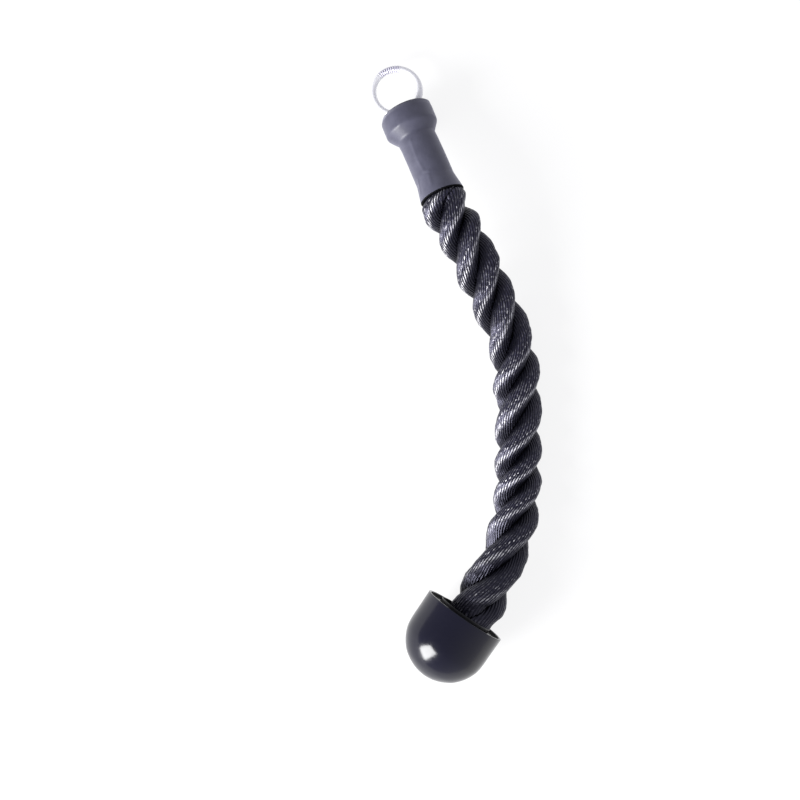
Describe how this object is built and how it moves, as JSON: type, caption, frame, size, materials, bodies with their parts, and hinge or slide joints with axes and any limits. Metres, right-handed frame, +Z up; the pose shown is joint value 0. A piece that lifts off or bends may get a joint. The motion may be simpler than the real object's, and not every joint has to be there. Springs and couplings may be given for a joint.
{
  "type": "triceps rope",
  "caption": "Short laid rope handle for a cable machine, with a pull ring in a crimped, sleeved head and a domed end cap that stops the hand.",
  "frame": {"origin": "Middle of the bounding box at the table, in metres", "axes": "The object lies on a table at Z 0. +Y runs along its length to the pull ring, -Y to the end cap, and +Z is up."},
  "size_m": [0.1032, 0.3686, 0.0512],
  "materials": {
    "ring_chrome": "bright chrome plate",
    "eye_steel": "zinc plated",
    "fastener_steel": "zinc plated",
    "ferrule_metal": "drawn and crimped",
    "sleeve_plastic": "dull grey-violet, softly creased",
    "rope_yarn": "black filament yarn with a silky shine",
    "cap_plastic": "high gloss, near black"
  },
  "bodies": {
    "head": {"ferrule": "ferrule_metal", "shrink_sleeve": "sleeve_plastic", "eye_bolt": "eye_steel", "eye_washer": "fastener_steel", "eye_nut": "fastener_steel", "strand_1": "rope_yarn", "strand_2": "rope_yarn", "strand_3": "rope_yarn"},
    "ring": {"pull_ring": "ring_chrome"},
    "end": {"end_cap": "cap_plastic", "cap_lid": "cap_plastic", "stop_washer": "fastener_steel", "crimp_band": "ferrule_metal"}
  },
  "joints": [
    {"name": "ring_swing", "type": "hinge", "parent": "head", "child": "ring", "pos_m": [-0.02994, 0.15581, 0.01488], "axis": [-0.9114, -0.4115, 0], "range_deg": [-61, 72]},
    {"name": "rope_flex", "type": "hinge", "parent": "head", "child": "end", "pos_m": [0.03738, -0.0194, 0.014], "axis": [0, 0, 1], "range_deg": [-45, 55], "stiffness_Nm_per_rad": 0.2, "deforming": ["strand_1", "strand_2", "strand_3"]}
  ]
}
